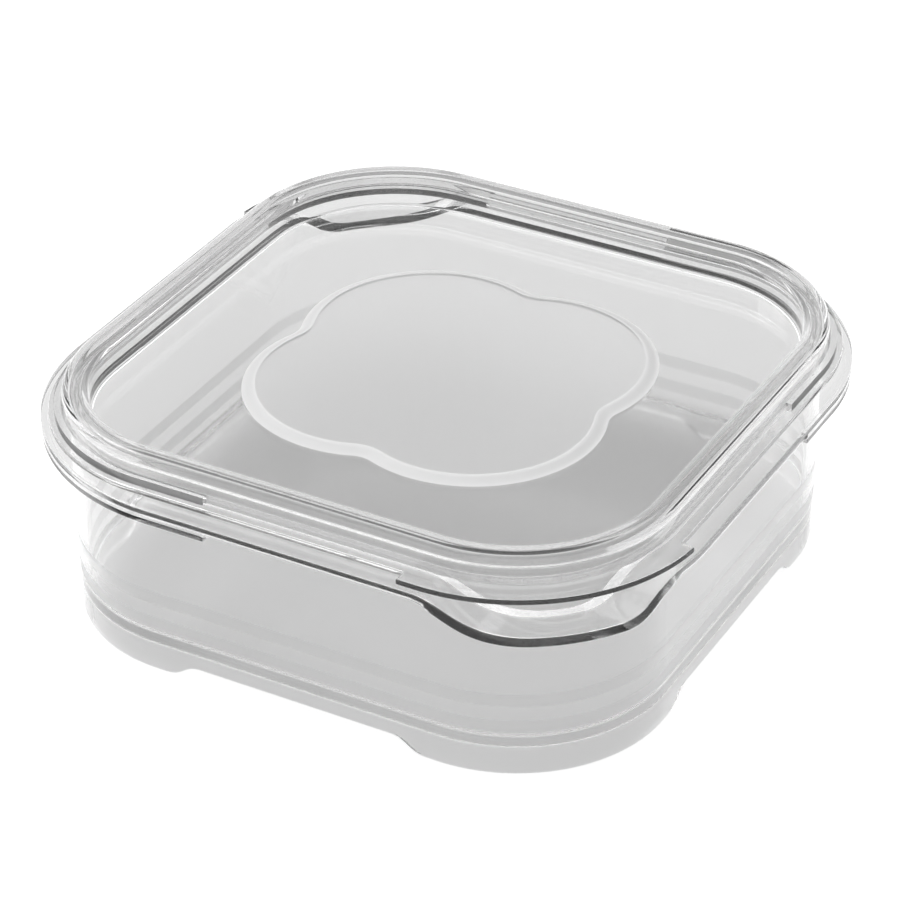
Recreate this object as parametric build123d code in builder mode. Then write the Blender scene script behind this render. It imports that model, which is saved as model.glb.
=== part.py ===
"""Square clear storage box: a moulded tub with corner ledges and a lift-off lid with lift tabs.

Millimetres, +Z up. The origin is the centre of the footprint, on the table.
Every outline is a rounded square whose corner arcs share one centre, so an outline needs
only its half width. The two grip corners are at (+X, -Y) and (-X, +Y). Half a turn about Z
brings the box back onto itself.
"""
import os

from build123d import *

# ---- plan ------------------------------------------------------------------
arc_centre = 24.9           # x and y of the corner arcs' centres
wall_half = 50.4            # tub wall, outer face
flange_width = 6.1          # from there to the flange's edge, the box's widest outline
plain_corner_extra = 4.0    # flange corners without a grip are rounder by this much

# ---- tub heights -------------------------------------------------------------
floor_underside = 4.6
floor_thickness = 1.4
flange_top = 34.3
flange_thickness = 1.65
neck_height = 2.9           # above the flange
dip_depth = 5.0             # the flange sinks this far at the grip corners

# ---- tub wall ----------------------------------------------------------------
wall_thickness = 1.35
neck_thickness = 0.85
floor_corner_radius = 3.0   # inside, where the floor meets the wall
skirt_corner_radius = 1.5   # under the floor
foot_edge_radius = 0.7
flange_edge_radius = 0.25
rim_edge_radius = 0.3

# ---- grip ledge: where the flange dips --------------------------------------
front_dip_start = 24.2      # along the front and back sides, from their middle
front_start_ease = 5.5      # length of the curve's handle at the level side
front_end_ease = 11.6       # and at the ledge, where the curve runs out slowly
side_dip_start = 30.6       # along the other two sides the dip is shorter
side_start_ease = 7.1
side_end_ease = 5.6
dip_end = 42.6
dip_lead = 0.6              # the underside turns down this much earlier

# ---- feet --------------------------------------------------------------------
arch_height = 2.3           # clearance under each side
arch_flat_half = 16.8       # level stretch of the arch
arch_slope = 6.2            # from there to where the foot is fully down

# ---- frosted bands -----------------------------------------------------------
band_bottoms = (7.9, 12.6)
band_height = 2.2
band_depth = 0.15

# ---- lip under the flange at the plain corners -------------------------------
lip_start = 11.0            # from the middle of a side
lip_drop = 0.75
lip_width = 1.1

# ---- lid ---------------------------------------------------------------------
lid_wall = 1.2
rim_clearance = 1.6         # over the tub's rim, inside the bead
inner_clearance = 0.35      # between the neck and the bead's inner leg, at the crest
outer_clearance = 0.1       # between the neck and the bead's outer leg, at the crest
crest_flat = 0.3            # level stretch across the bead's top
bead_flare = 1.2            # the outer leg leans out by this much down to the panel
recess_lean = 0.6           # the inner leg leans in by this much down to the panel
recess_depth = 5.8          # from the crest down to the panel
panel_corner_radius = 1.0
seat_clearance = 0.3        # lid flange above tub flange
lid_flange_thickness = 0.9
lid_flange_width = 1.3      # beyond the bead's foot
tab_inset = 0.6             # tab edge inside the tub flange's edge
tab_lead = 2.7              # the tab starts this much before the dip

# ---- catch bars on the bead at the plain corners -----------------------------
bar_start = 13.0            # from the middle of a side
bar_height = 1.3
bar_depth = 0.35

# ---- quatrefoil plateau on the panel -----------------------------------------
lobe_radius = 18.7
lobe_offset = 12.6          # lobe centres, along the diagonals
notch_radius = 6.5
plateau_rise = 0.85
plateau_slope = 2.2         # plan width of the sloping side

# ---- worked out --------------------------------------------------------------
flange_half = wall_half + flange_width
plain_corner_radius = flange_half - arc_centre + plain_corner_extra
beyond = 2 * flange_half    # a length that reaches past the box
level_tolerance = 0.01      # a face whose normal rises less than this stands upright
floor_top = floor_underside + floor_thickness
ledge_top = flange_top - dip_depth
rim_height = flange_top + neck_height
cavity_half = wall_half - wall_thickness
neck_half = cavity_half + neck_thickness
arch_half = arch_flat_half + arch_slope
crest_height = rim_height + rim_clearance + lid_wall
panel_top = crest_height - recess_depth
panel_underside = panel_top - lid_wall
bead_inner = cavity_half - inner_clearance - lid_wall
bead_outer = neck_half + outer_clearance + lid_wall
bead_crest_half = (bead_inner + bead_outer) / 2
bead_round = (bead_outer - bead_inner - crest_flat) / 2
bead_foot = bead_outer + bead_flare
panel_half = bead_inner - recess_lean
lid_flange_bottom = flange_top + seat_clearance
lid_flange_top = lid_flange_bottom + lid_flange_thickness
lid_flange_half = bead_foot + lid_flange_width
tab_half = flange_half - tab_inset
front_tab_start = front_dip_start - tab_lead
side_tab_start = side_dip_start - tab_lead

right_view = Plane(origin=(0, 0, 0), x_dir=(0, -1, 0), z_dir=(-1, 0, 0))


def at_grip_corner(vertex):
    """The grip corners lie where x and y have opposite signs."""
    return vertex.X * vertex.Y < 0


def at_plain_corner(vertex):
    """The plain corners lie where x and y have the same sign."""
    return vertex.X * vertex.Y > 0


def on_outline(face):
    """Upright faces that look away from the middle."""
    normal = face.normal_at()
    return abs(normal.Z) < level_tolerance and normal.dot(face.center()) > arc_centre


def rounded_square(half, plain_radius=None):
    """Rounded square about the origin, in the current sketch plane."""
    grip_radius = half - arc_centre
    with BuildSketch(mode=Mode.PRIVATE) as outline:
        Rectangle(2 * half, 2 * half)
        fillet(outline.vertices().filter_by(at_grip_corner), grip_radius)
        fillet(outline.vertices().filter_by(at_plain_corner), plain_radius or grip_radius)
    add(outline.sketch)


def square_ring(half):
    """Closed path of a rounded square, starting in the middle of the +X side."""
    radius = half - arc_centre
    with BuildLine(Plane.XY) as path:
        Line((half, 0), (half, arc_centre))
        RadiusArc((half, arc_centre), (arc_centre, half), -radius)
        Line((arc_centre, half), (-arc_centre, half))
        RadiusArc((-arc_centre, half), (-half, arc_centre), -radius)
        Line((-half, arc_centre), (-half, -arc_centre))
        RadiusArc((-half, -arc_centre), (-arc_centre, -half), -radius)
        Line((-arc_centre, -half), (arc_centre, -half))
        RadiusArc((arc_centre, -half), (half, -arc_centre), -radius)
        Line((half, -arc_centre), (half, 0))
    return path.wires()[0]


def bead_section(inset):
    """Round-topped section of the bead, every side moved inwards by `inset`."""
    with BuildSketch(mode=Mode.PRIVATE) as outline:
        with BuildLine():
            Polyline((panel_half + inset, panel_underside), (bead_inner + inset, crest_height - inset),
                     (bead_outer - inset, crest_height - inset), (bead_foot - inset, panel_underside),
                     close=True)
        make_face()
        fillet(outline.vertices().group_by(Axis.Y)[-1], bead_round - inset)
    add(outline.sketch)


def quatrefoil(grow):
    """Four lobes on the diagonals with rounded notches between them, grown outwards."""
    with BuildSketch(mode=Mode.PRIVATE) as outline:
        with PolarLocations(lobe_offset, 4, 45):
            Circle(lobe_radius + grow)
        notches = outline.vertices().sort_by_distance((0, 0, 0))[:4]
        fillet(notches, notch_radius - grow)
    add(outline.sketch)


def corner_blocks(start_x, start_y, corners):
    """Rectangles that cover the corners named by their signs, from the two starts outwards."""
    width = beyond - start_x
    depth = beyond - start_y
    middle_x = start_x + width / 2
    middle_y = start_y + depth / 2
    with Locations(*[(sx * middle_x, sy * middle_y) for sx, sy in corners]):
        Rectangle(width, depth)


def flange_side_view(dip_start, start_ease, end_ease):
    """Side view of the flange in the current sketch plane: level, S-curve, ledge."""
    under_top = flange_top - flange_thickness
    under_ledge = ledge_top - flange_thickness
    under_start = dip_start - dip_lead
    under_end = dip_end - dip_lead
    with BuildSketch(mode=Mode.PRIVATE) as outline:
        with BuildLine():
            Line((-beyond, flange_top), (dip_start, flange_top))
            Bezier((dip_start, flange_top), (dip_start + start_ease, flange_top),
                   (dip_end - end_ease, ledge_top), (dip_end, ledge_top))
            Line((dip_end, ledge_top), (beyond, ledge_top))
            Line((beyond, ledge_top), (beyond, under_ledge))
            Line((beyond, under_ledge), (under_end, under_ledge))
            Bezier((under_end, under_ledge), (under_end - end_ease, under_ledge),
                   (under_start + start_ease, under_top), (under_start, under_top))
            Line((under_start, under_top), (-beyond, under_top))
            Line((-beyond, under_top), (-beyond, flange_top))
        make_face()
    add(outline.sketch)


grip_corners = ((1, -1), (-1, 1))
plain_corners = ((-1, -1), (1, 1))

# ---- flange of the tub: level, with a dip at each grip corner ------------------
with BuildPart() as front_flange:
    with BuildSketch(Plane.XZ):
        flange_side_view(front_dip_start, front_start_ease, front_end_ease)
    extrude(amount=beyond)
    with BuildSketch(Plane.XY):
        with BuildLine():
            Polyline((0, 0), (-beyond, -beyond), (beyond, -beyond), close=True)
        make_face()
    extrude(amount=crest_height, mode=Mode.INTERSECT)

with BuildPart() as right_flange:
    with BuildSketch(right_view):
        flange_side_view(side_dip_start, side_start_ease, side_end_ease)
    extrude(amount=-beyond)
    with BuildSketch(Plane.XY):
        with BuildLine():
            Polyline((0, 0), (beyond, -beyond), (beyond, beyond), close=True)
        make_face()
    extrude(amount=crest_height, mode=Mode.INTERSECT)

# the same two sides again, half a turn round, then cut to the outline
with BuildPart() as flange:
    with PolarLocations(0, 2):
        add(front_flange.part)
        add(right_flange.part)
    with BuildSketch(Plane.XY):
        rounded_square(flange_half, plain_corner_radius)
    extrude(amount=crest_height, mode=Mode.INTERSECT)
    rim_faces = flange.faces().filter_by(on_outline)
    fillet(rim_faces.edges().filter_by(Axis.Z, reverse=True), flange_edge_radius)

# ---- tub ---------------------------------------------------------------------
with BuildPart() as tub:
    # wall and skirt, solid for now
    with BuildSketch(Plane.XY):
        rounded_square(wall_half)
    extrude(amount=flange_top)
    fillet(tub.faces().sort_by(Axis.Z)[0].edges(), foot_edge_radius)
    with BuildSketch(Plane.XY.offset(flange_top)):
        rounded_square(neck_half)
    extrude(amount=rim_height - flange_top)
    add(flange.part)

    # lip under the flange's edge at the plain corners
    with BuildSketch(Plane.XY.offset(flange_top - flange_thickness - lip_drop)):
        rounded_square(flange_half, plain_corner_radius)
        with BuildSketch(mode=Mode.SUBTRACT):
            rounded_square(flange_half - lip_width, plain_corner_radius - lip_width)
        with BuildSketch(mode=Mode.INTERSECT):
            corner_blocks(lip_start, lip_start, plain_corners)
    extrude(amount=lip_drop + flange_edge_radius)

    # inside: the milk space above the floor, the hollow under it
    with BuildPart(mode=Mode.PRIVATE) as cavity:
        with BuildSketch(Plane.XY.offset(floor_top)):
            rounded_square(cavity_half)
        extrude(amount=rim_height - floor_top)
        fillet(cavity.faces().sort_by(Axis.Z)[0].edges(), floor_corner_radius)
    with BuildPart(mode=Mode.PRIVATE) as hollow:
        with BuildSketch(Plane.XY):
            rounded_square(cavity_half)
        extrude(amount=floor_underside)
        fillet(hollow.faces().sort_by(Axis.Z)[-1].edges(), skirt_corner_radius)
    add(cavity.part, mode=Mode.SUBTRACT)
    add(hollow.part, mode=Mode.SUBTRACT)

    # arches between the feet, through both pairs of sides
    for side_plane in (Plane.XZ, Plane.YZ):
        with BuildSketch(side_plane):
            with BuildLine():
                ease = (arch_half - arch_flat_half) / 2
                for side in (-1, 1):
                    foot = (side * arch_half, 0)
                    flat = (side * arch_flat_half, arch_height)
                    Bezier(foot, (side * (arch_half - ease), 0),
                           (side * (arch_flat_half + ease), arch_height), flat)
                Line((-arch_flat_half, arch_height), (arch_flat_half, arch_height))
                Line((-arch_half, 0), (arch_half, 0))
            make_face()
        extrude(amount=beyond, both=True, mode=Mode.SUBTRACT)

    # shallow bands for the frosted stripes
    for band_bottom in band_bottoms:
        with BuildSketch(Plane.XY.offset(band_bottom)):
            rounded_square(wall_half + band_depth)
            with BuildSketch(mode=Mode.SUBTRACT):
                rounded_square(wall_half - band_depth)
        extrude(amount=band_height, mode=Mode.SUBTRACT)

    rim_edges = tub.faces().sort_by(Axis.Z)[-1].edges()
    fillet(rim_edges, rim_edge_radius)

tub.part.label = "tub"

# ---- lid ---------------------------------------------------------------------
with BuildPart() as lid:
    # bead: an upside-down U of constant wall that drops over the tub's neck
    with BuildSketch(Plane.XZ):
        bead_section(0)
        with BuildSketch(mode=Mode.SUBTRACT):
            bead_section(lid_wall)
        # the outer leg ends at the flange, the inner one goes on to the panel
        with Locations((bead_crest_half + beyond / 2, lid_flange_bottom - beyond / 2)):
            Rectangle(beyond, beyond, mode=Mode.SUBTRACT)
    sweep(path=square_ring(bead_crest_half))

    # panel, rounded into the bead's inner wall
    with BuildSketch(Plane.XY.offset(panel_underside)):
        rounded_square(panel_half + lid_wall / 2)
    extrude(amount=lid_wall)
    panel_edges = lid.edges().filter_by_position(Axis.Z, panel_top, panel_top)
    fillet(panel_edges, panel_corner_radius)

    # quatrefoil plateau: the panel keeps its wall where it rises
    for level, mode in ((panel_top, Mode.ADD), (panel_underside, Mode.SUBTRACT)):
        with BuildSketch(Plane.XY.offset(level)):
            quatrefoil(plateau_slope)
        with BuildSketch(Plane.XY.offset(level + plateau_rise)):
            quatrefoil(0)
        loft(mode=mode)

    # flange round the bead's foot, and the wider lift tabs at the grip corners
    with BuildSketch(Plane.XY.offset(lid_flange_bottom)):
        rounded_square(lid_flange_half)
        with BuildSketch(mode=Mode.PRIVATE) as tabs:
            rounded_square(tab_half)
            with BuildSketch(mode=Mode.INTERSECT):
                corner_blocks(front_tab_start, side_tab_start, grip_corners)
        add(tabs.sketch)
        with BuildSketch(mode=Mode.SUBTRACT):
            rounded_square(bead_foot - lid_wall / 2)
    extrude(amount=lid_flange_thickness)

    # catch bars: a raised band on the bead's foot round each plain corner
    with BuildSketch(Plane.XY.offset(lid_flange_top)):
        rounded_square(bead_foot + bar_depth)
        with BuildSketch(mode=Mode.SUBTRACT):
            rounded_square(bead_foot - lid_wall / 2)
        with BuildSketch(mode=Mode.INTERSECT):
            corner_blocks(bar_start, bar_start, plain_corners)
    extrude(amount=bar_height)

lid.part.label = "lid"

os.makedirs("parts", exist_ok=True)
export_step(tub.part, "parts/tub.step")
export_step(lid.part, "parts/lid.step")
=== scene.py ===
# %% [markdown]
# # A clear square freezer box
#
# The box is two injection mouldings in clear plastic: a tub, and a lid whose round bead drops
# over the tub's neck. Clear plastic shows itself by its edges, so the look depends on true
# wall thickness, true roundings and smooth normals far more than on colour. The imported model
# gives the frame, the sizes and the two bodies that move; this script dresses them.

# %% Load the frame
import math

import bmesh
import bpy
from mathutils import Matrix, Vector


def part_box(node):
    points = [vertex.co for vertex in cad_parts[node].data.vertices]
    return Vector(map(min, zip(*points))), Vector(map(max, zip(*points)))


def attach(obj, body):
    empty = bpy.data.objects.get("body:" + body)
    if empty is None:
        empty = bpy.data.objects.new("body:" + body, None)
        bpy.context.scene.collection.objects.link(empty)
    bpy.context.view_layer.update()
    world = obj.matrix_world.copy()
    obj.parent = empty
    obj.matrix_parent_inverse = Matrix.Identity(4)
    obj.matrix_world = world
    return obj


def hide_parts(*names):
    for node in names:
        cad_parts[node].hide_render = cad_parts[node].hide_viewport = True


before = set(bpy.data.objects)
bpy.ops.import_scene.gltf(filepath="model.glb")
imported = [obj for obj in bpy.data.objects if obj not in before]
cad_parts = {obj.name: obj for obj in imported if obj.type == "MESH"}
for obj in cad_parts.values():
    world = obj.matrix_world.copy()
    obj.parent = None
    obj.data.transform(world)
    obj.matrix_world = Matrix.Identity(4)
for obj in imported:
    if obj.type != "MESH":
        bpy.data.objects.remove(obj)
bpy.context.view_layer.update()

# %% [markdown]
# ## Sizes
#
# Everything is drawn in millimetres and shrunk to metres at the very end, when a mesh becomes
# an object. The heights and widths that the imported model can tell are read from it. The rest
# are the moulded details that sit between them.

# %% Sizes shared by both mouldings
METRES_PER_MM = 0.001


def node_box(node):
    """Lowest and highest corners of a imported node, in millimetres."""
    low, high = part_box(node)
    return Vector(low) / METRES_PER_MM, Vector(high) / METRES_PER_MM


tub_low, tub_high = node_box("tub")
lid_low, lid_high = node_box("lid")

arc_centre = 24.9                     # x and y of every corner arc's centre
corner_steps = 64                     # faces round one corner
station_step = 1.0                    # longest face along a straight side
print("tub", tub_low, tub_high, "lid", lid_low, lid_high)

# %% [markdown]
# ## Drawing a wall and carrying it round
#
# Both mouldings are the same kind of thing: a wall section that runs once round a rounded
# square. A section could be lofted between many outlines, but then each rounding would have
# to be drawn many times. Here the section is drawn once, in the XZ plane, as a few corner
# points. Each corner is rounded by a vertex bevel. Then `spin` carries it along half a side,
# round one corner and along the next half side, and three turned copies close the ring.

# %% Section and sweep
ROUND_SEGMENTS = 10
ROUND_PROFILE = 0.5                   # a bevel's profile that follows a circle
seam_gap = 0.001                      # where two turned copies meet, in millimetres


def draw_section(bm, corners):
    """Draw an open polyline of (half width, height, radius) corners and round them."""
    verts = [bm.verts.new((half, 0, height)) for half, height, _ in corners]
    for start, end in zip(verts, verts[1:]):
        bm.edges.new((start, end))
    for vert, (_, _, radius) in zip(verts, corners):
        if radius == 0:
            continue
        ways = [(edge.other_vert(vert).co - vert.co) for edge in vert.link_edges]
        half_turn = (math.pi - ways[0].angle(ways[1])) / 2
        bmesh.ops.bevel(bm, geom=[vert], offset=radius * math.tan(half_turn),
                        segments=ROUND_SEGMENTS, profile=ROUND_PROFILE, affect="VERTICES",
                        material=-1)


def carry_round(bm, marks):
    """Carry the drawn section round the square, with a row of vertices at every mark."""
    def carry(edges, **path):
        last = bmesh.ops.spin(bm, geom=edges, axis=(0, 0, 1), **path)["geom_last"]
        return [item for item in last if isinstance(item, bmesh.types.BMEdge)]

    spans = []
    stops = sorted({0, arc_centre, *marks})
    for start, end in zip(stops, stops[1:]):
        steps = math.ceil((end - start) / station_step)
        spans.append((steps, (end - start) / steps))
    edges = bm.edges[:]
    for steps, length in spans:
        edges = carry(edges, dvec=(0, length, 0), angle=0, steps=steps)
    edges = carry(edges, cent=(arc_centre, arc_centre, 0), angle=math.pi / 2, steps=corner_steps)
    for steps, length in reversed(spans):
        edges = carry(edges, dvec=(-length, 0, 0), angle=0, steps=steps)
    quarter = bm.verts[:] + bm.edges[:] + bm.faces[:]
    bmesh.ops.spin(bm, geom=quarter, cent=(0, 0, 0), axis=(0, 0, 1),
                   angle=1.5 * math.pi, steps=3, use_duplicate=True)
    bmesh.ops.remove_doubles(bm, verts=bm.verts[:], dist=seam_gap)


# %% [markdown]
# ## Moving along and across the ring
#
# Every outline is a rounded square with the same arc centres, so a vertex has a simple
# address: the nearest point of the square of arc centres, and how far it lies outside it.
# With that address a lip, a tab or a ledge is one short rule instead of a drawn outline.
# The two grip corners are the ones where x and y have opposite signs.

# %% Addresses on the ring
def out_of_square(point):
    """Nearest point of the square of arc centres, and the way out from it."""
    foot = Vector([max(-arc_centre, min(arc_centre, value)) for value in point.xy])
    return foot, point.xy - foot


def half_width(point):
    """Half the width of the rounded square that a point lies on."""
    return arc_centre + out_of_square(point)[1].length


def set_half_width(vert, half):
    """Move a vertex straight out or in to the rounded square of another half width."""
    foot, way = out_of_square(vert.co)
    vert.co.xy = foot + way.normalized() * (half - arc_centre)


def along(point):
    """Distance from the middle of the side, the same on both sides of a corner."""
    return min(abs(point.x), abs(point.y))


def at_grip(point):
    """True in the two quarters whose corner has a finger ledge."""
    return point.x * point.y < 0


def on_front(point):
    """True on the front and back sides, up to the middle of each corner."""
    return abs(point.y) > abs(point.x)


def ease(value):
    """A smooth step from 0 to 1."""
    value = max(0.0, min(1.0, value))
    return value * value * (3 - 2 * value)


def faces_between(bm, halves, heights, starts, grip):
    """Ring faces between two half widths and two heights, from a mark on.

    The mark is the first of `starts` on the front and back sides and the second elsewhere."""
    found = []
    for face in bm.faces:
        centre = face.calc_center_median()
        start = starts[0] if on_front(centre) else starts[1]
        if not halves[0] < half_width(centre) < halves[1]:
            continue
        if heights[0] < centre.z < heights[1] and along(centre) > start and at_grip(centre) == grip:
            found.append(face)
    return found


def pull_out(bm, faces):
    """Extrude faces as one region and give back the vertices that now move."""
    made = bmesh.ops.extrude_face_region(bm, geom=faces)["geom"]
    bmesh.ops.delete(bm, geom=faces, context="FACES_KEEP_BOUNDARY")
    return [item for item in made if isinstance(item, bmesh.types.BMVert)]


# %% [markdown]
# ## Leaving bmesh
#
# A finished mesh keeps its place in its vertices: the object stays at the origin, unturned.
# Doubles are merged first, then the normals are made to point outwards. Clear plastic shows
# every fault of its normals, so flat and round stretches are told apart by angle, and a
# Weighted Normal modifier keeps the large flat faces flat right up to their small roundings.

# %% From bmesh to a riding piece
sharp_angle = math.radians(32)
double_gap = 0.0005                   # vertices closer than this are one, in millimetres


def make_piece(bm, name, body, node, materials):
    """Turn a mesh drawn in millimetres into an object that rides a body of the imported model."""
    bmesh.ops.remove_doubles(bm, verts=bm.verts[:], dist=double_gap)
    bmesh.ops.recalc_face_normals(bm, faces=bm.faces[:])
    for face in bm.faces:
        face.smooth = True
    open_edges = sum(1 for edge in bm.edges if len(edge.link_faces) != 2)
    volume = bm.calc_volume()
    bmesh.ops.scale(bm, vec=(METRES_PER_MM,) * 3, verts=bm.verts[:])
    mesh = bpy.data.meshes.new(name)
    bm.to_mesh(mesh)
    bm.free()
    mesh.set_sharp_from_angle(angle=sharp_angle)
    for material in materials:
        mesh.materials.append(material)
    piece = bpy.data.objects.new(name, mesh)
    bpy.context.scene.collection.objects.link(piece)
    weighted = piece.modifiers.new("flat faces stay flat", "WEIGHTED_NORMAL")
    weighted.keep_sharp = True
    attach(piece, body)
    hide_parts(node)
    print(name, len(mesh.polygons), "faces", open_edges, "open edges", round(volume), "mm3")
    return piece


# %% [markdown]
# ## Nodes for the finishes
#
# One function turns a colour written as sRGB hex into the linear numbers that a shader wants.
# One more adds a node: plain values set its sockets, and a socket given as a value is linked.

# %% Colour and node helpers
def hex_colour(code):
    """Linear red, green, blue and alpha of an sRGB code, by the sRGB standard's own curve."""
    channels = [int(code[start:start + 2], 16) / 255 for start in (1, 3, 5)]
    linear = [c / 12.92 if c <= 0.04045 else ((c + 0.055) / 1.055) ** 2.4 for c in channels]
    return (*linear, 1)


def add_node(tree, kind, inputs, **settings):
    """Add a node, set its options and fill or link its sockets."""
    node = tree.nodes.new(kind)
    for key, value in settings.items():
        setattr(node, key, value)
    for key, value in inputs.items():
        if isinstance(value, bpy.types.NodeSocket):
            tree.links.new(value, node.inputs[key])
        else:
            node.inputs[key].default_value = value
    return node


def new_material(name):
    """An empty node material, and its tree."""
    material = bpy.data.materials.new(name)
    material.use_nodes = True
    material.node_tree.nodes.clear()
    return material, material.node_tree


# %% [markdown]
# ## Clear polypropylene, polished and spark-eroded
#
# The box is moulded in clarified polypropylene. Where the mould is polished the plastic is
# glass clear, with only the faint waviness that the melt leaves when it cools. Where the
# mould was spark-eroded, the plastic comes out finely matt: it lets the light through but
# not the view. Both are one dielectric with an index of 1.49.
#
# Two rules at the end of the material are not optics but thrift. Light falls through thin
# plastic almost unbent, so shadow and diffuse rays see a slightly grey, plainly transparent
# sheet, which gives the box a soft shadow without caustics. And a wall is a light guide:
# light can run in it for longer than the renderer follows it, which would draw black lines.
# So light that has met many surfaces leaks out of the plastic in a straight line instead.

# %% Clear and frosted plastic
PLASTIC_IOR = 1.49
edge_ior = 1.1                        # lower, so that a cut edge shows its tone and no mirror
shade_level = 0.745                   # light that one surface lets through to the floor
leak_depth = 8.0                      # after this many surfaces light leaves the wall it runs in
reflections_share = 1 / 3             # or after this share of them, if all were reflections
leak_level = 0.93                     # light that one surface lets through when it leaks
within_painted_shade = "#030303"             # painted shade: a cut edge seen from inside the plastic
noise_low, noise_high = 0.3, 0.7      # where nearly all of a noise texture's values lie
edge_on_start, edge_on_full = 0.4, 0.55   # facing values at which one painted tint gives way to another


def clear_plastic(name, roughness, grain, wave_mm, wave_height_mm, colour="#fcfcfc", clarity=0.985,
                  grazing=None, within=within_painted_shade, ior=PLASTIC_IOR, depth=leak_depth):
    """Dielectric whose roughness wanders by `grain`, with mould waves of a real size.

    With a `grazing` colour the plastic turns to it where it is seen edge on, and takes the
    `within` colour where it is seen from inside the plastic. Light leaks after `depth`
    surfaces."""
    material, tree = new_material(name)
    coords = add_node(tree, "ShaderNodeTexCoord", {}).outputs["Object"]
    waves = add_node(tree, "ShaderNodeTexNoise",
                     {"Vector": coords, "Scale": 1 / (wave_mm * METRES_PER_MM), "Detail": 1.0})
    haze = add_node(tree, "ShaderNodeMapRange",
                    {"Value": waves.outputs["Fac"], "From Min": noise_low, "From Max": noise_high,
                     "To Min": roughness, "To Max": roughness + grain})
    bump = add_node(tree, "ShaderNodeBump",
                    {"Height": waves.outputs["Fac"], "Strength": 1.0,
                     "Distance": wave_height_mm * METRES_PER_MM})
    plastic = add_node(tree, "ShaderNodeBsdfPrincipled",
                       {"Base Color": hex_colour(colour), "Roughness": haze.outputs["Result"],
                        "IOR": ior, "Transmission Weight": clarity,
                        "Normal": bump.outputs["Normal"]})
    # Painted shade and painted highlight: a cut edge is tinted dark where seen squarely or from inside,
    # and pale where seen edge on, in place of the light it would gather.
    if grazing:
        view = add_node(tree, "ShaderNodeLayerWeight", {"Blend": 0.5})
        turn = add_node(tree, "ShaderNodeMapRange", {"Value": view.outputs["Facing"],
                                                     "From Min": edge_on_start,
                                                     "From Max": edge_on_full})
        tint = add_node(tree, "ShaderNodeMix", {"Factor": turn.outputs["Result"]}, data_type="RGBA")
        tint.inputs[6].default_value = hex_colour(colour)
        tint.inputs[7].default_value = hex_colour(grazing)
        side = add_node(tree, "ShaderNodeNewGeometry", {}).outputs["Backfacing"]
        sides = add_node(tree, "ShaderNodeMix", {"Factor": side}, data_type="RGBA")
        tree.links.new(tint.outputs[2], sides.inputs[6])
        sides.inputs[7].default_value = hex_colour(within)
        tree.links.new(sides.outputs[2], plastic.inputs["Base Color"])
    path = add_node(tree, "ShaderNodeLightPath", {})
    fill = add_node(tree, "ShaderNodeMath", {0: path.outputs["Is Shadow Ray"],
                                             1: path.outputs["Is Diffuse Ray"]}, operation="MAXIMUM")
    long = add_node(tree, "ShaderNodeMath", {0: path.outputs["Ray Depth"], 1: depth},
                    operation="GREATER_THAN")
    trapped = add_node(tree, "ShaderNodeMath", {0: path.outputs["Glossy Depth"],
                                                1: depth * reflections_share},
                       operation="GREATER_THAN")
    leaks = add_node(tree, "ShaderNodeMath", {0: long.outputs[0], 1: trapped.outputs[0]},
                     operation="MAXIMUM")
    unbent = add_node(tree, "ShaderNodeMath", {0: fill.outputs[0], 1: leaks.outputs[0]},
                      operation="MAXIMUM")
    dimming = add_node(tree, "ShaderNodeMapRange", {"Value": fill.outputs[0], "To Min": leak_level,
                                                    "To Max": shade_level})
    shade = add_node(tree, "ShaderNodeBsdfTransparent", {"Color": dimming.outputs["Result"]})
    mix = add_node(tree, "ShaderNodeMixShader", {0: unbent.outputs[0],
                                                 1: plastic.outputs[0], 2: shade.outputs[0]})
    add_node(tree, "ShaderNodeOutputMaterial", {"Surface": mix.outputs[0]})
    return material


# %% [markdown]
# ## The finishes of this box, and its painted edge shade
#
# The tub's wall comes from a mirror-polished mould and the lid's from a slightly duller one.
# The two bands and the inside of the skirt are spark-eroded. The floor has a faint grain that
# blurs what stands under it. The quatrefoil is finely matt on top and coarse on its slope,
# which therefore catches the light as a pale rim.
#
# A cut edge of clear plastic looks dark, because the eye looks along the sheet into its
# depth. That light could be followed through dozens of surfaces, but it would stay noisy. So
# those faces get painted shade, a dark tint where they are seen squarely, and an index near 1,
# which keeps mirror images out of them. The flange's edge gets a painted highlight: it turns
# pale again where it is seen edge on. The side of a catch bar is painted a mid grey.

# %% Finishes and painted edge shade
# Glass clear: it shows itself only by its edges and reflections.
polished = clear_plastic("clarified polypropylene, polished mould", 0.0, 0.01, 14, 0.004)
# A trace of haze: reflections on the lid get soft rims, and the plastic is a little greyer.
lid_polished = clear_plastic("clarified polypropylene, polished lid mould", 0.03, 0.02, 14, 0.004,
                             colour="#f8f8f8")
# Matt: the two bands blur what is behind them and stand off the clear wall.
frosted = clear_plastic("clarified polypropylene, spark-eroded band", 0.28, 0.06, 0.6, 0.01,
                        clarity=0.86)
# Fine matt: an even milky grey on top of the quatrefoil.
matt = clear_plastic("clarified polypropylene, fine matt plateau", 0.3, 0.06, 0.6, 0.01, clarity=0.66)
# Coarse matt: it scatters nearly all its light, so the quatrefoil gets a pale rim.
slope = clear_plastic("clarified polypropylene, coarse matt slope", 0.5, 0.08, 0.6, 0.01, clarity=0.1)
# Faint grain: the floor stays clear but softens the feet and the shadow below it.
grained = clear_plastic("clarified polypropylene, finely grained floor", 0.16, 0.04, 0.8, 0.01,
                        clarity=0.975)
no_leak = 30.0                        # more surfaces than light meets: a cut edge doesn't leak
# Painted shade, dark from every side: the thin line that draws the outline of a lift tab.
tab_edge_painted_shade = clear_plastic("clarified polypropylene, tab edge with painted shade", 0.05, 0.05, 6, 0.01,
                         colour="#3c3c3c", clarity=0.9, grazing="#484848", ior=edge_ior, depth=no_leak)
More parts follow.
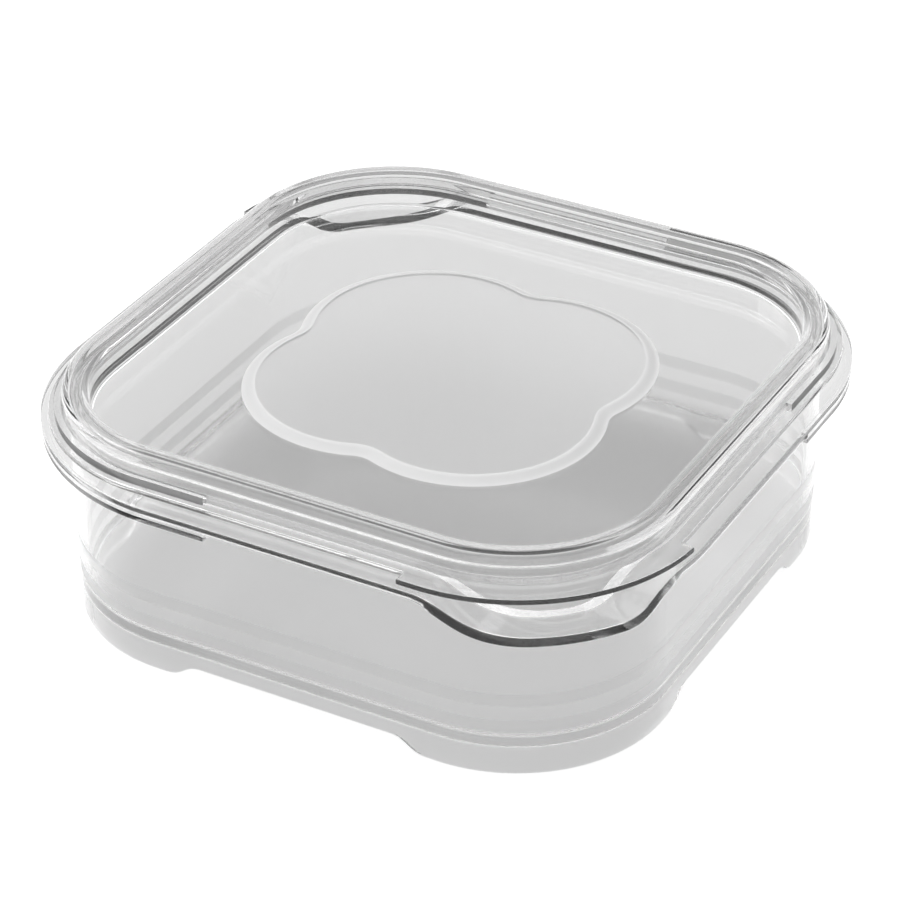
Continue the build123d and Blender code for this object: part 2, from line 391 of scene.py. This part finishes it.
# Painted shade where it is seen squarely, a painted highlight where seen edge on: the lines along the
# flange and the ledge.
ledge_edge_painted_shade = clear_plastic("clarified polypropylene, cut edge of the flange", 0.05, 0.05, 6, 0.01,
                           colour="#282828", clarity=0.9, grazing="#f4f4f4", ior=edge_ior, depth=no_leak)
# Clear, but with painted shade from within: the pale middle between those two lines.
round_edge_painted_shade = clear_plastic("clarified polypropylene, rounded edge of the flange", 0.0, 0.02, 6, 0.01,
                           grazing="#fcfcfc", ior=edge_ior, depth=no_leak)
# Painted shade, mid grey and mostly opaque: the solid bar reads as a thicker piece of plastic.
bar_face_painted_shade = clear_plastic("clarified polypropylene, catch bar side with painted shade", 0.08, 0.05, 6, 0.01,
                         colour="#a0a0a0", clarity=0.35, grazing="#a0a0a0", within="#f8f8f8",
                         ior=edge_ior)
print("finishes", len(bpy.data.materials))

# %% [markdown]
# ## The tub
#
# The tub's section starts on the floor, climbs the inside of the wall, turns over the rim,
# comes down the thin neck, runs out along the flange and back under it, and goes down the
# wall to the foot. The bands are flush stretches of the wall with a frosted finish. The
# flange has extra rows of vertices, because it bends later on.

# %% Tub section, carried round
cap_half = 40.0                       # where the sections hand over to the flat floor and panel
wall_half = 50.4
wall_thickness = 1.35
neck_thickness = 0.85
cavity_half = wall_half - wall_thickness
neck_half = cavity_half + neck_thickness
flange_half = tub_high.x
rim_height = tub_high.z
flange_top = 34.3
flange_thickness = 1.65
flange_under = flange_top - flange_thickness
floor_underside = 4.6
floor_top = 6.0
floor_corner_radius = 1.2
skirt_corner_radius = 0.6
foot_edge_radius = 0.7
rim_edge_radius = 0.3
band_bottoms = (7.9, 12.6)
band_height = 2.2
lip_width = 1.1
lip_half = flange_half - lip_width
lip_start = 11.0
lip_drop = 0.75
under_round = 0.9                     # rounding under the level flange's edge
arch_flat_half = 16.8
arch_half = 23.0
arch_height = 2.3
row_count = 4                         # rows across the flange's top
edge_row_shares = (1.0, 0.6, 0.35, 0.15)    # rows up its edge, as shares of the rounding

flange_rows = [neck_half + (lip_half - neck_half) * step / row_count
               for step in range(1, row_count + 1)]
edge_rows = [flange_under + under_round * share for share in edge_row_shares]
band_edges = sorted([edge for bottom in band_bottoms for edge in (bottom, bottom + band_height)],
                    reverse=True)
tub_mesh = bmesh.new()
draw_section(tub_mesh, [
    (cap_half, floor_top, 0),
    (cavity_half, floor_top, floor_corner_radius),
    (cavity_half, rim_height, rim_edge_radius),
    (neck_half, rim_height, rim_edge_radius),
    (neck_half, flange_top, 0),
    *[(half, flange_top, 0) for half in flange_rows],
    (flange_half, flange_top, 0),
    *[(flange_half, height, 0) for height in edge_rows],
    (flange_half, flange_under, 0),
    *[(half, flange_under, 0) for half in reversed(flange_rows) if half > wall_half],
    (wall_half, flange_under, 0),
    *[(wall_half, height, 0) for height in band_edges],
    (wall_half, 0, foot_edge_radius),
    (cavity_half, 0, 0),
    (cavity_half, floor_underside, skirt_corner_radius),
    (cap_half, floor_underside, 0),
])
carry_round(tub_mesh, [lip_start, arch_flat_half, arch_half])
print("tub ring", len(tub_mesh.faces), "faces")

# %% [markdown]
# The floor's two open loops are closed with one flat face each. A grid of faces would do as
# well, but a flat pane of clear plastic has nothing to shade, so one face is cleanest.

# %% Close the floor
level_gap = 0.01                      # heights closer than this are one height


def loop_at(bm, height):
    """Boundary edges at one height."""
    return [edge for edge in bm.edges
            if edge.is_boundary and abs(edge.verts[0].co.z - height) < level_gap]


for height in (floor_top, floor_underside):
    bmesh.ops.edgeloop_fill(tub_mesh, edges=loop_at(tub_mesh, height))
print("open edges", sum(edge.is_boundary for edge in tub_mesh.edges))

# %% [markdown]
# The flange carries four details. Round each plain corner a lip hangs from its edge, which
# is an extruded strip. The plain corners are also a little rounder than the wall, so the
# flange is narrower there. Where the flange is level and has no lip, its lower edge is well
# rounded. At the grip corners it sinks in an S-curve to a ledge, which leaves a finger gap
# under the lid's tab. The S is a Bezier curve, given by where it starts and by the lengths of
# its two level handles. It is longer on the front and back than on the other two sides, so
# the box looks the same after a half turn but not in a mirror. The arches between the feet
# use the same curve.

# %% Lip, plain corners, ledges and arches
plain_corner_extra = 4.0
dip_depth = 5.0
dip_end = 42.6
dip_lead = 0.6
front_dip = (24.2, 5.5, 11.6)         # where the dip starts, and its two handles
side_dip = (30.6, 7.1, 5.6)
dip_fade = 3.5                        # from there the rounded lower edge fades out
lip_fade = 1.5                        # and beside a lip it does so over this length
lip_fade_lead = 1.6                   # which ends a little before the lip starts
arch_ease = 0.5                       # both handles of the arch's curve
halvings = 30                         # steps in which a curve's length is searched
nearly = 0.05


def bezier_s(value, start_ease, end_ease):
    """Height share of a Bezier S at a length share, from its two level handles."""
    value = max(0.0, min(1.0, value))
    low, high = 0.0, 1.0
    for _ in range(halvings):
        t = (low + high) / 2
        length = 3 * (1 - t) ** 2 * t * start_ease + 3 * (1 - t) * t ** 2 * (1 - end_ease) + t ** 3
        low, high = (t, high) if length < value else (low, t)
    return t * t * (3 - 2 * t)


def dip_share(point, lead):
    """How far the flange has sunk to the ledge at a point, from 0 to 1."""
    start, start_ease, end_ease = front_dip if on_front(point) else side_dip
    length = dip_end - start
    return bezier_s((along(point) + lead - start) / length, start_ease / length, end_ease / length)


def edge_inset(point):
    """Inset that rounds the lower edge of the flange where it is level and has no lip."""
    rise = max(0.0, min(under_round, point.z - flange_under))
    if at_grip(point):
        dip_start = (front_dip if on_front(point) else side_dip)[0]
        share = 1 - ease((along(point) - dip_start) / dip_fade)
    else:
        share = 1 - ease((along(point) - lip_start + lip_fade_lead) / lip_fade)
    return share * (under_round - math.sqrt(under_round ** 2 - (under_round - rise) ** 2))


def pull_down(bm, faces, drop):
    """Extrude faces straight down."""
    bmesh.ops.translate(bm, vec=(0, 0, -drop), verts=pull_out(bm, faces))


def plain_edge_shift(point):
    """How far the rounder plain corner lies inside the outline that shares the arc centres."""
    foot, way = out_of_square(point)
    centre = Vector((math.copysign(arc_centre - plain_corner_extra, point.x),
                     math.copysign(arc_centre - plain_corner_extra, point.y)))
    radius = flange_half - arc_centre + plain_corner_extra
    if along(point) <= arc_centre - plain_corner_extra:
        return 0.0
    out = way.normalized()
    offset = foot - centre
    across = offset.dot(out)
    chord = math.sqrt(across ** 2 - offset.length_squared + radius ** 2)
    return flange_half - arc_centre + across - chord


lip_faces = faces_between(tub_mesh, (lip_half, flange_half),
                          (flange_under - nearly, flange_under + nearly),
                          (lip_start, lip_start), grip=False)
pull_down(tub_mesh, lip_faces, lip_drop)

for vert in tub_mesh.verts:
    half = half_width(vert.co)
    if half > flange_half - nearly and vert.co.z > flange_under - nearly:
        half -= edge_inset(vert.co)
        set_half_width(vert, half)
    if half > wall_half + nearly and not at_grip(vert.co):
        share = min(1, (half - wall_half) / (lip_half - wall_half))
        set_half_width(vert, half - share * plain_edge_shift(vert.co))
    on_flange = half > neck_half - nearly and flange_under - nearly < vert.co.z < flange_top + nearly
    if on_flange and at_grip(vert.co):
        lead = dip_lead * (flange_top - vert.co.z) / flange_thickness
        vert.co.z -= dip_depth * dip_share(vert.co, lead)
    if vert.co.z < foot_edge_radius + nearly:
        rise = (arch_half - along(vert.co)) / (arch_half - arch_flat_half)
        vert.co.z += arch_height * bezier_s(rise, arch_ease, arch_ease)
print("lip faces", len(lip_faces))

# %% [markdown]
# The edges of the flange and its lip are crisp but not knife sharp: a small edge bevel rounds
# every outer corner of the rim at once. Then each face takes its finish by where it lies: the
# bands on the wall, the painted shade along the edge of the flange and its paler middle, the
# grained floor, and the frosted inside of the skirt, which hides the reflections that run
# round under the floor.

# %% Round the flange's edges, mark the bands and the painted edge shade, finish the tub
edge_round = 0.2
edge_segments = 3
square_edge = math.radians(60)        # edges sharper than this are rounded
shoulder_low = flange_under - dip_depth - nearly
painted_shade_from_top = 0.75                     # how far the painted dark lines reach down from its top
painted_shade_from_under = 0.1                      # and up from its underside
level_share = 0.05                    # below this share of its dip the flange counts as level
upright = 0.5                         # an upright face's normal rises less than this


def round_outer_edges(bm, from_half, heights):
    """Bevel the square edges that lie outside a half width."""
    edges = []
    for edge in bm.edges:
        middle = (edge.verts[0].co + edge.verts[1].co) / 2
        if half_width(middle) < from_half(middle) or not heights[0] < middle.z < heights[1]:
            continue
        if edge.is_manifold and edge.calc_face_angle() > square_edge:
            edges.append(edge)
    bmesh.ops.bevel(bm, geom=edges, offset=edge_round, segments=edge_segments,
                    profile=ROUND_PROFILE, affect="EDGES", material=-1, clamp_overlap=True)
    return len(edges)


bmesh.ops.recalc_face_normals(tub_mesh, faces=tub_mesh.faces[:])


def flange_outline(point):
    """Half width of the flange's edge beside a point, a touch inside it."""
    shift = 0 if at_grip(point) else plain_edge_shift(point)
    return flange_half - shift - nearly


rounded = round_outer_edges(tub_mesh, flange_outline, (floor_top, rim_height))
TUB_FINISHES_AND_PAINTED_SHADE = [polished, frosted, ledge_edge_painted_shade, round_edge_painted_shade, grained]
for face in tub_mesh.faces:
    centre = face.calc_center_median()
    half = half_width(centre)
    for bottom in band_bottoms:
        if half > wall_half - nearly and bottom < centre.z < bottom + band_height:
            face.material_index = TUB_FINISHES_AND_PAINTED_SHADE.index(frosted)
    on_edge = centre.z > shoulder_low and half > flange_outline(centre)
    # Upright faces of the flange's edge get painted shade: dark lines at its top and underside and where
    # it dips, and a paler middle.
    if on_edge and abs(face.normal.z) < upright:
        level = not at_grip(centre) or dip_share(centre, 0) < level_share
        dark = centre.z > flange_top - painted_shade_from_top or centre.z < flange_under + painted_shade_from_under
        on_lip = not at_grip(centre) and along(centre) > lip_start
        if dark or not level:
            finish_or_painted_shade = ledge_edge_painted_shade
        elif on_lip:
            finish_or_painted_shade = polished
        else:
            finish_or_painted_shade = round_edge_painted_shade
        face.material_index = TUB_FINISHES_AND_PAINTED_SHADE.index(finish_or_painted_shade)
    if half < cavity_half and floor_top - nearly < centre.z < floor_top + floor_corner_radius:
        face.material_index = TUB_FINISHES_AND_PAINTED_SHADE.index(grained)
    in_skirt = cavity_half - skirt_corner_radius - nearly < half < wall_half - foot_edge_radius
    if in_skirt and centre.z < floor_underside + nearly:
        face.material_index = TUB_FINISHES_AND_PAINTED_SHADE.index(frosted)
print("rounded", rounded, "flange edges")
make_piece(tub_mesh, "tub_shell", "tub", "tub", TUB_FINISHES_AND_PAINTED_SHADE)

# %% [markdown]
# ## The lid
#
# The lid's section starts on the flat panel, climbs the recess wall, goes over the bead and
# down its outer leg to a small flange, and comes back inside: the bead is hollow, and the
# tub's neck stands in the hollow.

# %% Lid section, carried round
lid_wall = 1.2
crest = lid_high.z
panel_underside = lid_low.z
panel_top = panel_underside + lid_wall
inner_clearance = 0.35
outer_clearance = 0.1
bead_inner = cavity_half - inner_clearance - lid_wall
bead_outer = neck_half + outer_clearance + lid_wall
bead_round = 1.7
bead_flare = 1.2
recess_lean = 0.6
panel_corner_radius = 0.4
seat_clearance = 0.3
lid_flange_thickness = 0.9
lid_flange_width = 1.3
lid_flange_bottom = flange_top + seat_clearance
lid_flange_top = lid_flange_bottom + lid_flange_thickness
bead_foot = bead_outer + bead_flare
lid_flange_half = bead_foot + lid_flange_width
underside_radius = 0.2
bar_start = 13.0
bar_height = 1.3
bar_depth = 0.35
bar_half = bead_foot + bar_depth
tab_starts = (21.5, 27.9)             # on the front and back, and on the other two sides
tab_half = lid_high.y


def leg(half_at_top, top, lean, height):
    """Half width of a leg of the bead at a height; it reaches its full lean at the panel."""
    return half_at_top + lean * (top - height) / (top - panel_underside)


bar_top = lid_flange_top + bar_height
inside_top = crest - lid_wall
lid_mesh = bmesh.new()
draw_section(lid_mesh, [
    (cap_half, panel_top, 0),
    (leg(bead_inner, crest, -recess_lean, panel_top), panel_top, panel_corner_radius),
    (bead_inner, crest, bead_round),
    (bead_outer, crest, bead_round),
    (leg(bead_outer, crest, bead_flare, bar_top), bar_top, 0),
    (leg(bead_outer, crest, bead_flare, lid_flange_top), lid_flange_top, 0),
    (bar_half, lid_flange_top, 0),
    (lid_flange_half, lid_flange_top, 0),
    (lid_flange_half, lid_flange_bottom, 0),
    (leg(bead_outer - lid_wall, inside_top, bead_flare, lid_flange_bottom), lid_flange_bottom, 0),
    (bead_outer - lid_wall, inside_top, bead_round - lid_wall),
    (bead_inner + lid_wall, inside_top, bead_round - lid_wall),
    (bead_inner + lid_wall - recess_lean, panel_underside, underside_radius),
    (cap_half, panel_underside, 0),
])
bar_end = 0.08                        # a bar ends in a short, steep face
carry_round(lid_mesh, [bar_start - bar_end, bar_start, tab_starts[0]])
print("lid ring", len(lid_mesh.faces), "faces")

# %% [markdown]
# At the grip corners the lid's small flange grows into a wide tab over the ledge: its edge
# faces are pulled outwards. A tab covers the dip below it and starts a little before it, so it
# too is longer on the front and back. At the plain corners a catch bar rides on the flange.
# The crease between the bead and the flange is one row of vertices, so the bar is made by
# moving that row out and up, which turns the hollow corner into a solid bar.

# %% Tabs and catch bars
tab_faces = faces_between(lid_mesh, (lid_flange_half - nearly, lid_flange_half + nearly),
                          (lid_flange_bottom, lid_flange_top), tab_starts, grip=True)
for vert in pull_out(lid_mesh, tab_faces):
    set_half_width(vert, tab_half)
crease = leg(bead_outer, crest, bead_flare, lid_flange_top)
bar_rows = 0
for vert in lid_mesh.verts:
    at_crease_height = abs(vert.co.z - lid_flange_top) < nearly
    in_crease = at_crease_height and abs(half_width(vert.co) - crease) < nearly
    if in_crease and not at_grip(vert.co) and along(vert.co) > bar_start - nearly:
        set_half_width(vert, bar_half)
        vert.co.z = bar_top
        bar_rows += 1
bmesh.ops.recalc_face_normals(lid_mesh, faces=lid_mesh.faces[:])
rounded = round_outer_edges(lid_mesh, lambda point: lid_flange_half - nearly,
                            (lid_flange_bottom - nearly, lid_flange_top + nearly))
print("tab faces", len(tab_faces), "bar rows", bar_rows, "rounded", rounded)

# %% [markdown]
# ## The quatrefoil plateau
#
# The middle of the panel stands up as a four-lobed plateau. Its outline is made of arcs: a
# lobe on each diagonal and a rounded notch between each pair. As seen from the middle, the
# outline has one radius in every direction, so the panel's own loop can be extruded inwards
# and laid on it. Growing the lobes and shrinking the notches by the same amount gives the
# outline further down the slope. The underside follows, so the wall stays even.

# %% Raise the plateau on both faces of the panel
lobe_radius = 18.7
lobe_offset = 12.6
notch_radius = 6.5
plateau_rise = 0.85
plateau_slope = 2.2
slope_rows = 6


def quatrefoil_radius(angle, grow):
    """Distance from the middle to the outline, grown outwards."""
    lobe = lobe_radius + grow
    notch = notch_radius - grow
    angle = abs((angle + math.pi / 4) % (math.pi / 2) - math.pi / 4)
    side = lobe_offset * math.sin(math.pi / 4)
    notch_centre = side + math.sqrt((lobe + notch) ** 2 - side ** 2)
    touch = Vector((side, side)).lerp(Vector((notch_centre, 0)), lobe / (lobe + notch))
    if angle < math.atan2(touch.y, touch.x):
        beside = notch_centre * math.sin(angle)
        return notch_centre * math.cos(angle) - math.sqrt(notch ** 2 - beside ** 2)
    turn = math.pi / 4 - angle
    return lobe_offset * math.cos(turn) + math.sqrt(lobe ** 2 - (lobe_offset * math.sin(turn)) ** 2)


def raise_plateau(bm, height):
    """Extrude a loop of the panel inwards to the quatrefoil, up its slope, and close it."""
    edges = loop_at(bm, height)
    for row in range(slope_rows + 1):
        made = bmesh.ops.extrude_edge_only(bm, edges=edges)["geom"]
        edges = [item for item in made if isinstance(item, bmesh.types.BMEdge)]
        share = row / slope_rows
        for vert in {vert for edge in edges for vert in edge.verts}:
            radius = quatrefoil_radius(math.atan2(vert.co.y, vert.co.x), plateau_slope * (1 - share))
            vert.co.xy = vert.co.xy.normalized() * radius
            vert.co.z = height + plateau_rise * ease(share)
    bmesh.ops.edgeloop_fill(bm, edges=edges)


for height in (panel_top, panel_underside):
    raise_plateau(lid_mesh, height)

# %% [markdown]
# The lid's faces take their finish by where they lie, as the tub's did. The quatrefoil is matt
# on its upper face only. One matt surface already blurs what is below it, and its underside
# can stay as clear as the rest of the lid. The tabs' edges get painted shade as dark lines, and
# the bars' sides are painted grey.

# %% Finishes and painted edge shade of the lid
flat_top = 0.999                      # the plateau's normal rises more than this
tab_upright = 0.8                     # an edge face of a tab rises less, its rounding included
bar_upright = 0.3                     # and the side of a bar much less


def on_plateau(face):
    """True for the upper faces of the quatrefoil and its slope."""
    def inside(vert):
        edge = quatrefoil_radius(math.atan2(vert.co.y, vert.co.x), plateau_slope)
        return vert.co.xy.length < min(cap_half, edge + nearly)
    return face.calc_center_median().z > panel_top + level_gap and all(map(inside, face.verts))


LID_FINISHES_AND_PAINTED_SHADE = [lid_polished, matt, tab_edge_painted_shade, slope, bar_face_painted_shade]
for face in lid_mesh.faces:
    centre = face.calc_center_median()
    half = half_width(centre)
    if on_plateau(face):
        face.material_index = LID_FINISHES_AND_PAINTED_SHADE.index(matt if face.normal.z > flat_top else slope)
    if half > tab_half - edge_round - nearly and abs(face.normal.z) < tab_upright:
        face.material_index = LID_FINISHES_AND_PAINTED_SHADE.index(tab_edge_painted_shade)
    if abs(half - bar_half) < nearly and centre.z < bar_top and abs(face.normal.z) < bar_upright:
        face.material_index = LID_FINISHES_AND_PAINTED_SHADE.index(bar_face_painted_shade)
make_piece(lid_mesh, "lid_shell", "lid", "lid", LID_FINISHES_AND_PAINTED_SHADE)

# %% [markdown]
# ## Camera, floor and light
#
# The box is seen from in front of its grip corner and from above, through a long lens. Such a
# lens keeps upright edges nearly parallel, as in a catalogue. It could also be drawn without
# perspective, but then the far edges would not come together at all. The camera is placed by
# its turn, its pitch and its distance, which are easier to judge than coordinates.

# %% Camera
lens_mm = 140.576
sensor_mm = 36.0
camera_yaw = math.radians(28.98)
camera_pitch = math.radians(32.36)
camera_roll = math.radians(-0.30)
camera_distance = 0.552
camera_shift = Vector((-0.0002, -0.01705))    # sideways and up, across the line of sight
look_at = Vector((0, 0, 0.040))

backward = Vector((math.sin(camera_yaw) * math.cos(camera_pitch),
                   -math.cos(camera_yaw) * math.cos(camera_pitch), math.sin(camera_pitch)))
level = Vector((math.cos(camera_yaw), math.sin(camera_yaw), 0))
turned = Matrix.Rotation(camera_roll, 3, backward)
right = turned @ level
up = turned @ backward.cross(level)
camera_data = bpy.data.cameras.new("camera")
camera_data.lens = lens_mm
camera_data.sensor_width = sensor_mm
camera_data.clip_start = 0.01
camera = bpy.data.objects.new("camera", camera_data)
bpy.context.scene.collection.objects.link(camera)
place = look_at + backward * camera_distance + right * camera_shift.x + up * camera_shift.y
camera.matrix_world = Matrix.Translation(place) @ Matrix((right, up, backward)).transposed().to_4x4()
bpy.context.scene.camera = camera
print("camera at", camera.location)

# %% [markdown]
# The floor is matt paper in a light grey, so that it keeps the box's shadow. On top of that it
# glows for the eye only: Light Path tells how it is being looked at. Seen directly it becomes
# plain white, and in a reflection it adds as much light as white would. Through the plastic
# it glows less, and so does it for light that was reflected more than once. That lower glow is
# painted shade: all floor seen through the box turns greyer, and the real grey shadow under
# the box shows through its walls while the open floor stays bright.

# %% Floor
floor_size = 4.0
fibre_scale = 900.0                   # paper fibres a little over a millimetre apart
paper_low, paper_high = 0.59, 0.61    # the paper's own grey
floor_glow = 0.8                      # added where the floor is seen directly
floor_glow_reflected = 1.0            # in a first reflection
floor_glow_through = 0.44             # through the plastic, or after more reflections: lower, a painted shade
often_reflected = 1.5                 # more reflections than this count as many


def white_floor():
    """Grey paper that keeps a shadow, plus a glow that depends on how it is seen."""
    material, tree = new_material("matt white paper")
    coords = add_node(tree, "ShaderNodeTexCoord", {}).outputs["Object"]
    fibres = add_node(tree, "ShaderNodeTexNoise",
                      {"Vector": coords, "Scale": fibre_scale, "Detail": 2.0})
    tone = add_node(tree, "ShaderNodeMapRange", {"Value": fibres.outputs["Fac"],
                                                 "To Min": paper_low, "To Max": paper_high})
    paper = add_node(tree, "ShaderNodeBsdfDiffuse", {"Color": tone.outputs["Result"]})
    path = add_node(tree, "ShaderNodeLightPath", {})
    seen = add_node(tree, "ShaderNodeMath", {0: path.outputs["Is Camera Ray"], 1: floor_glow},
                    operation="MULTIPLY")
    reflected = add_node(tree, "ShaderNodeMath", {0: path.outputs["Is Glossy Ray"],
                                                  1: floor_glow_reflected}, operation="MULTIPLY")
    near = add_node(tree, "ShaderNodeMath", {0: seen.outputs[0], 1: reflected.outputs[0]},
                    operation="MAXIMUM")
    often = add_node(tree, "ShaderNodeMath", {0: path.outputs["Glossy Depth"], 1: often_reflected},
                     operation="GREATER_THAN")
    through = add_node(tree, "ShaderNodeMath", {0: path.outputs["Is Transmission Ray"],
                                                1: often.outputs[0]}, operation="MAXIMUM")
    strength = add_node(tree, "ShaderNodeMapRange",
                        {"Value": through.outputs[0], "To Min": near.outputs[0],
                         "To Max": floor_glow_through})
    glow = add_node(tree, "ShaderNodeEmission", {"Strength": strength.outputs["Result"]})
    both = add_node(tree, "ShaderNodeAddShader", {0: paper.outputs[0], 1: glow.outputs[0]})
    add_node(tree, "ShaderNodeOutputMaterial", {"Surface": both.outputs[0]})
    return material


floor_mesh = bmesh.new()
bmesh.ops.create_grid(floor_mesh, x_segments=1, y_segments=1, size=floor_size / 2)
floor_data = bpy.data.meshes.new("floor")
floor_mesh.to_mesh(floor_data)
floor_mesh.free()
floor_data.materials.append(white_floor())
floor = bpy.data.objects.new("floor", floor_data)
bpy.context.scene.collection.objects.link(floor)
print("floor", floor_size, "m")

# %% [markdown]
# The room is plain white where it is seen directly or straight through the plastic, and dim
# where the plastic reflects it, or the walls would be covered in glare. Light that was
# reflected more than once sees a middle grey, so that the long way through a bead ends
# neither in black nor in white.
#
# A sheet behind the box is brighter near the floor, and its reflection gives the flat panel a
# soft gradient. Three square lamps do the rest. The ceiling is very large, so it lights the
# floor evenly and leaves only a soft shadow. The key lamp is small and weak: it adds short
# highlights on the roundings. The front lamp stands on the camera's side and brightens the
# matt faces that look that way. Spot lamps could do all this too, but clear plastic would
# mirror each one as a hard bright dot.

# %% World and lamps
world_level = 0.2                     # what is seen in a first reflection
deep_level = 0.6                      # what light sees that was reflected more than once
straight_level = 1.0                  # what is seen directly or straight through the plastic
not_reflected = 0.5                   # fewer reflections than this count as none
sheet_low, sheet_high = 0.02, 1.3     # lower and upper edge of the backdrop, in metres


def room_glow(tree, dim):
    """Strength of the room: white if seen straight, grey if reflected often, else `dim`."""
    path = add_node(tree, "ShaderNodeLightPath", {})
    often = add_node(tree, "ShaderNodeMath", {0: path.outputs["Glossy Depth"], 1: often_reflected},
                     operation="GREATER_THAN")
    reflected = add_node(tree, "ShaderNodeMapRange", {"Value": often.outputs[0], "To Min": dim,
                                                      "To Max": deep_level})
    unreflected = add_node(tree, "ShaderNodeMath", {0: path.outputs["Glossy Depth"],
                                                    1: not_reflected}, operation="LESS_THAN")
    looked = add_node(tree, "ShaderNodeMath", {0: path.outputs["Is Camera Ray"],
                                               1: path.outputs["Is Transmission Ray"]},
                      operation="MAXIMUM")
    straight = add_node(tree, "ShaderNodeMath", {0: looked.outputs[0], 1: unreflected.outputs[0]},
                        operation="MULTIPLY")
    strength = add_node(tree, "ShaderNodeMapRange", {"Value": straight.outputs[0],
                                                     "To Min": reflected.outputs["Result"],
                                                     "To Max": straight_level})
    return strength.outputs["Result"]


def make_world():
    """The room all round, as an even glow."""
    world = bpy.data.worlds.new("pale room")
    world.use_nodes = True
    tree = world.node_tree
    tree.nodes.clear()
    background = add_node(tree, "ShaderNodeBackground", {"Color": hex_colour("#ffffff"),
                                                         "Strength": room_glow(tree, world_level)})
    add_node(tree, "ShaderNodeOutputWorld", {"Surface": background.outputs[0]})
    bpy.context.scene.world = world


def soft_lamp(name, place, size, watts):
    """Square lamp that faces the box."""
    data = bpy.data.lights.new(name, "AREA")
    data.size = size
    data.energy = watts
    lamp = bpy.data.objects.new(name, data)
    lamp.location = place
    lamp.rotation_euler = Vector(place).to_track_quat("Z", "Y").to_euler()
    bpy.context.scene.collection.objects.link(lamp)


def backdrop(distance, low, high, bright, dim):
    """Upright sheet behind the box, as wide each way as it is far, that fades between two heights."""
    material, tree = new_material("sweep that darkens upwards")
    coords = add_node(tree, "ShaderNodeTexCoord", {}).outputs["Object"]
    height = add_node(tree, "ShaderNodeSeparateXYZ", {"Vector": coords})
    glow = add_node(tree, "ShaderNodeMapRange", {"Value": height.outputs["Z"], "From Min": low,
                                                 "From Max": high, "To Min": bright, "To Max": dim})
    light = add_node(tree, "ShaderNodeEmission",
                     {"Strength": room_glow(tree, glow.outputs["Result"])})
    add_node(tree, "ShaderNodeOutputMaterial", {"Surface": light.outputs[0]})
    bm = bmesh.new()
    centre = Vector((-math.sin(camera_yaw), math.cos(camera_yaw), 0)) * distance
    across = Vector((math.cos(camera_yaw), math.sin(camera_yaw), 0)) * distance
    corners = [(-1, sheet_low), (1, sheet_low), (1, sheet_high), (-1, sheet_high)]
    bm.faces.new([bm.verts.new(centre + across * side + Vector((0, 0, z))) for side, z in corners])
    mesh = bpy.data.meshes.new("backdrop")
    bm.to_mesh(mesh)
    bm.free()
    mesh.materials.append(material)
    sheet = bpy.data.objects.new("backdrop", mesh)
    bpy.context.scene.collection.objects.link(sheet)


make_world()
soft_lamp("ceiling", place=(-0.4, 0.35, 1.6), size=2.4, watts=29.0)
soft_lamp("key", place=(-0.6, -0.1, 0.7), size=0.3, watts=0.9)
soft_lamp("front", place=(0.45, -0.85, 0.35), size=0.9, watts=2.0)
backdrop(distance=1.2, low=0.5, high=0.95, bright=0.5, dim=0.0)
print("world", world_level, "lamps", len(bpy.data.lights))

# %% [markdown]
# ## The view transform
#

# %% Plain view transform
bpy.context.scene.view_settings.view_transform = "Standard"
